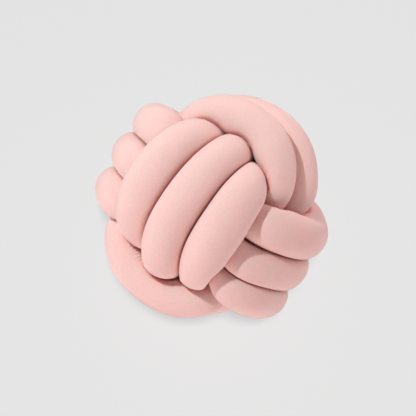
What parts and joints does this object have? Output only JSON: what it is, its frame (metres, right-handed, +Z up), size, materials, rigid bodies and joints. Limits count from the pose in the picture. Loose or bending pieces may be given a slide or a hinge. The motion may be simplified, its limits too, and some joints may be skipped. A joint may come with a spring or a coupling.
{
  "type": "knot cushion",
  "caption": "Ball-shaped knot cushion of one stuffed jersey tube, wound in side-by-side turns that pass over and under each other.",
  "frame": {"origin": "centre of the bounding box's underside, on the surface that the cushion rests on", "axes": "+Z up; +X to the right and +Y away as the cushion is seen from its front; the front band of turns looks up and a little to the left"},
  "size_m": [0.3058, 0.2996, 0.2913],
  "materials": {
    "pink_jersey": "matt, smooth fine-knit cotton jersey in pale salmon pink"
  },
  "bodies": {
    "root": {"knot_tube": "pink_jersey"}
  },
  "joints": []
}
